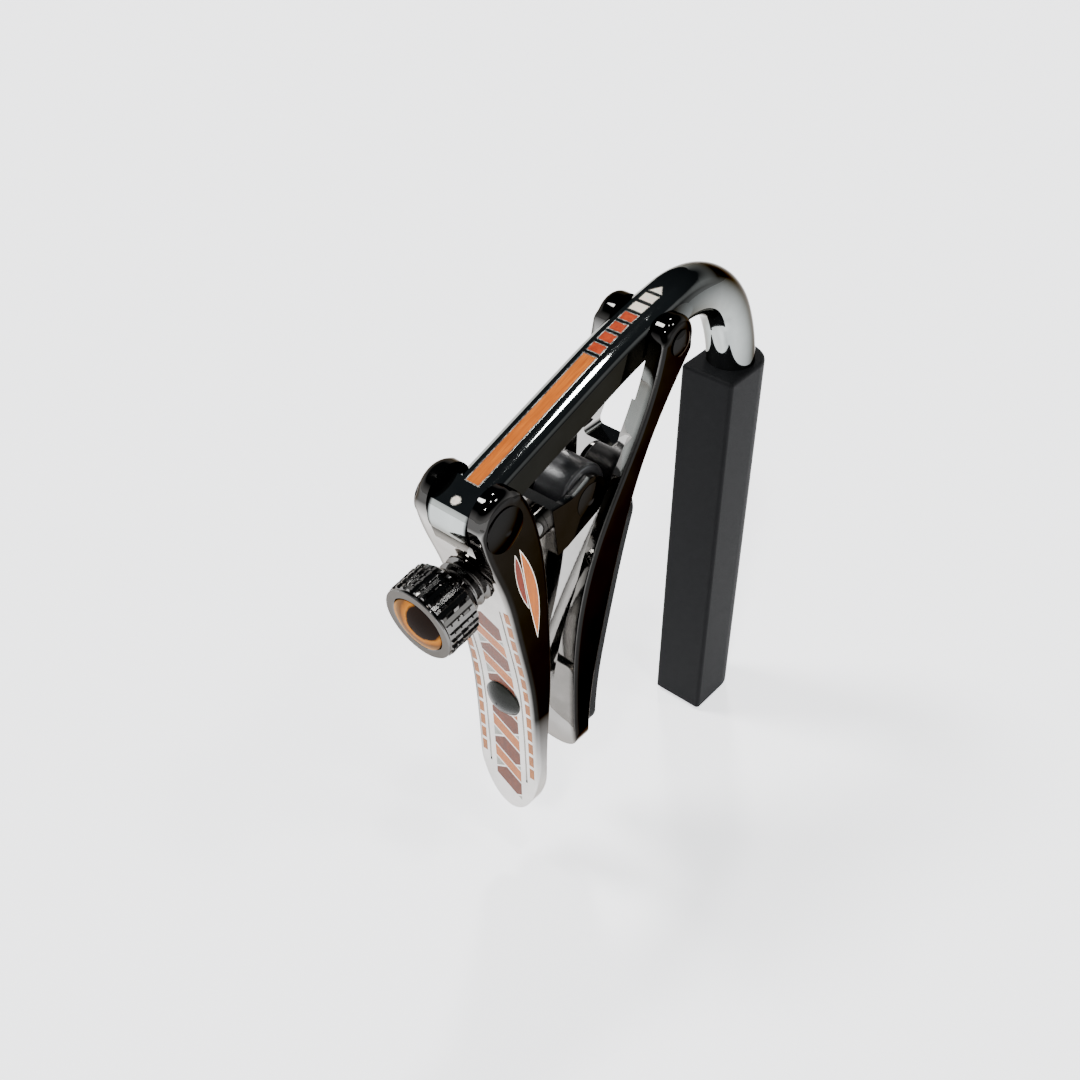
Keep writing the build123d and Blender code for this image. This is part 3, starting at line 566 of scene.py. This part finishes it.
# the ears are domed: the narrow rounding at their rims is widened, and eases off at both ends.
# Angles go round the pin, from +X towards +Z
earDomes = (
    {
        "name": "domedLever",
        "node": "lever",
        "body": "lever",
        "slot": "lever_chrome",
        "joint": "lever_swing",
        "offset": (0.2, 0.8),
        "radius": 3.3,
        "rounding": 0.7,
        "wider": 1.4,
        "angles": (35, 190),
    },
    {
        "name": "domedRest",
        "node": "neck_rest",
        "body": "rest",
        "slot": "rest_chrome",
        "joint": "neck_rest_swing",
        "offset": (0, 0),
        "radius": 2.9,
        "rounding": 0.5,
        "wider": 1.2,
        "angles": (-40, 170),
    },
)
doming = {"easeOver": 28.0, "inward": -0.01, "offRounding": 0.02, "sharpAngle": 30}


def easeIn(share):
    share = min(max(share, 0.0), 1.0)
    return share * share * (3 - 2 * share)


for ear in earDomes:
    bm = copyNode(ear["node"])
    pivot = Vector(joints[ear["joint"]]["pos_m"]) / mm
    middleX, middleZ = pivot.x + ear["offset"][0], pivot.z + ear["offset"][1]
    outer = max(abs(v.co.y) for v in bm.verts) / mm
    narrow, radius = ear["rounding"], ear["radius"]
    first, last = ear["angles"]
    moved = 0
    for v in bm.verts:
        x, y, z = v.co.x / mm - middleX, abs(v.co.y) / mm, v.co.z / mm - middleZ
        reach = hypot(x, z)
        rimward, sideward = reach - (radius - narrow), y - (outer - narrow)
        if min(rimward, sideward) < doming["inward"]:
            continue
        if abs(hypot(rimward, sideward) - narrow) > doming["offRounding"]:
            continue
        around = (degrees(atan2(z, x)) - first) % 360 + first
        if around > last:
            continue
        easing = easeIn((around - first) / doming["easeOver"])
        easing *= easeIn((last - around) / doming["easeOver"])
        rounding = narrow + (ear["wider"] - narrow) * easing
        roll = atan2(max(sideward, 0), max(rimward, 0))
        outward = (radius - rounding + rounding * cos(roll)) / reach
        newY = outer - rounding + rounding * sin(roll)
        if v.co.y <= 0:
            newY = -newY
        v.co = Vector((middleX + x * outward, newY, middleZ + z * outward)) * mm
        moved += 1
    domed = addPiece(
        ear["name"], bm, ear["body"], ear["slot"], finishes[ear["node"]], [ear["node"]],
        doming["sharpAngle"],
    )
    evened = domed.modifiers.new("evenShading", "WEIGHTED_NORMAL")
    evened.keep_sharp = True
    print(ear["name"], "rounded at", moved, "points")

# the handle's dashes are lengthened along it, and stand a hair proud to lie over their slots
dashShape = {"stretch": 1.27, "rise": 0.014}
flatWithin = radians(1.5)


def islandsOf(bm):
    left = set(bm.verts)
    while left:
        growing = [left.pop()]
        island = list(growing)
        while growing:
            for v in {v for e in growing.pop().link_edges for v in e.verts} & left:
                left.discard(v)
                growing.append(v)
                island.append(v)
        yield island


bm = copyNode("handle_inlay_dashes")
bmesh.ops.dissolve_limit(bm, angle_limit=flatWithin, verts=bm.verts, edges=bm.edges)
bm.normal_update()
dashes = list(islandsOf(bm))
for dash in dashes:
    top = min({f for v in dash for f in v.link_faces}, key=lambda f: f.normal.x)
    longest = max(top.edges, key=lambda e: e.calc_length())
    along = (longest.verts[1].co - longest.verts[0].co).normalized()
    middle = sum((v.co for v in dash), Vector()) / len(dash)
    stretched = Matrix.Translation(middle) @ Matrix.Scale(dashShape["stretch"], 4, along)
    stretched = stretched @ Matrix.Translation(top.normal * dashShape["rise"] * mm - middle)
    bmesh.ops.transform(bm, matrix=stretched, verts=dash)
addPiece(
    "longDashes", bm, "lever", "dash_enamel", finishes["handle_inlay_dashes"], ["handle_inlay_dashes"]
)
print("dashes lengthened:", len(dashes))

# fine bright frets around the inlays, raised a hair from the metal
fretShape = {"rise": 0.025, "facing": 0.93}
silver, tree, bsdf = startMaterial("silverFret", Metallic=1.0)
wear = noise(tree, objectSpace(tree), 2600.0, 3.0)
worn = twoTone(tree, wear, (0.62, 0.58, 0.5), (0.86, 0.83, 0.76))
plug(tree, bsdf.inputs["Base Color"], worn)
plug(tree, bsdf.inputs["Roughness"], twoTone(tree, wear, grey(0.14), grey(0.26)))

legUp = Vector((-0.3144, 0, 0.9493))
# fret, inlay it goes round, body, directions that its face may look along, slot, width
frets = (
    ("stripFret", "leg_inlay_strip", "bar", (legUp,), "black_chrome", 0.14),
    ("redFret", "leg_inlay_red", "bar", (legUp,), "black_chrome", 0.12),
    ("pearlFret", "leg_inlay_pearl", "bar", (legUp,), "black_chrome", 0.1),
    ("orangeLeafFret", "cheek_leaf_orange", "lever", (across, -across), "lever_chrome", 0.08),
    ("redLeafFret", "cheek_leaf_red", "lever", (across, -across), "lever_chrome", 0.06),
    ("dotFret", "leg_inlay_dot", "bar", (legUp, Vector((0, 0, 1))), "black_chrome", 0.12),
)
for name, inlay, body, facings, slot, width in frets:
    bm = copyNode(inlay)
    bm.normal_update()
    hidden = []  # all but the inlay's outer face
    for face in bm.faces:
        facing = max(face.normal.dot(way) for way in facings)
        if facing < fretShape["facing"] or face.normal.dot(face.calc_center_median()) < 0:
            hidden.append(face)
    bmesh.ops.delete(bm, geom=hidden, context="FACES")
    bmesh.ops.scale(bm, verts=bm.verts, vec=(1 / mm, 1 / mm, 1 / mm))
    bmesh.ops.dissolve_limit(bm, angle_limit=flatWithin, verts=bm.verts, edges=bm.edges)
    inside = bm.faces[:]
    bmesh.ops.inset_region(
        bm, faces=inside, thickness=width, use_even_offset=True, use_boundary=True
    )
    bmesh.ops.delete(bm, geom=inside, context="FACES")
    bm.normal_update()
    top = bmesh.ops.extrude_face_region(bm, geom=bm.faces[:])["geom"]
    for v in (g for g in top if isinstance(g, bmesh.types.BMVert)):
        v.co += v.normal * fretShape["rise"]
    bmesh.ops.recalc_face_normals(bm, faces=bm.faces)
    bmesh.ops.scale(bm, verts=bm.verts, vec=(mm, mm, mm))
    addPiece(name, bm, body, slot, silver)
print("frets laid")

studio = {
    "floorHeight": -0.0282,
    "floorSize": 30.0,
    "floorColour": (0.82, 0.82, 0.83),
    "floorMottle": 0.985,
    "floorGlow": 1.5,
    "floorGlowColour": (0.96, 0.97, 1.0, 1),
    "horizon": (1.0, 1.0, 1.0),
    "horizonUpTo": 0.12,
    "overhead": (0.012, 0.014, 0.016),
    "overheadFrom": 0.5,
    "skyStrength": 1.9,
}

# name, heading and height of the lamp in degrees, angle it fills, strength
lamps = (
    ("keyLamp", 118, 58, 14, 3.2),
    ("sideLamp", 205, 50, 5, 1.2),
    ("rearLamp", 40, 62, 5, 1.6),
    ("ceilingLamp", 250, 75, 4, 0.8),
    ("shoulderLamp", 292, 55, 7, 0.7),
)

bm = bmesh.new()
bmesh.ops.create_grid(bm, x_segments=8, y_segments=8, size=studio["floorSize"] / 2)
bmesh.ops.translate(bm, verts=bm.verts, vec=(0, 0, studio["floorHeight"]))
floorMesh = bpy.data.meshes.new("floor")
bm.to_mesh(floorMesh)
bm.free()
floor = bpy.data.objects.new("floor", floorMesh)
bpy.context.scene.collection.objects.link(floor)
floorFinish, tree, bsdf = startMaterial(
    "paleFloor",
    Roughness=0.75,
    Emission_Color=studio["floorGlowColour"],
    Emission_Strength=studio["floorGlow"],
)
grain = noise(tree, objectSpace(tree), 30.0, 3.0)
bright = studio["floorColour"]
mottled = twoTone(tree, grain, shade(bright, studio["floorMottle"]), bright, 0.2, 0.8)
plug(tree, bsdf.inputs["Base Color"], mottled)
floorMesh.materials.append(floorFinish)

world = bpy.data.worlds.new("studio")
world.use_nodes = True
bpy.context.scene.world = world
sky = world.node_tree
skyward = addNode(sky, "ShaderNodeTexCoord").outputs["Generated"]
height = addNode(sky, "ShaderNodeSeparateXYZ", Vector=skyward).outputs["Z"]
skyStops = [
    (0.0, studio["horizon"]),
    (studio["horizonUpTo"], studio["horizon"]),
    (studio["overheadFrom"], studio["overhead"]),
]
background = sky.nodes["Background"]
plug(sky, background.inputs["Color"], colourRamp(sky, height, skyStops))
background.inputs["Strength"].default_value = studio["skyStrength"]

for name, heading, rise, spread, strength in lamps:
    lampData = bpy.data.lights.new(name, "SUN")
    lampData.energy = strength
    lampData.angle = radians(spread)
    lamp = bpy.data.objects.new(name, lampData)
    level, heading = cos(radians(rise)), radians(heading)
    towards = Vector((level * cos(heading), level * sin(heading), sin(radians(rise))))
    lamp.rotation_euler = towards.to_track_quat("Z", "Y").to_euler()
    bpy.context.scene.collection.objects.link(lamp)
print("studio lit")
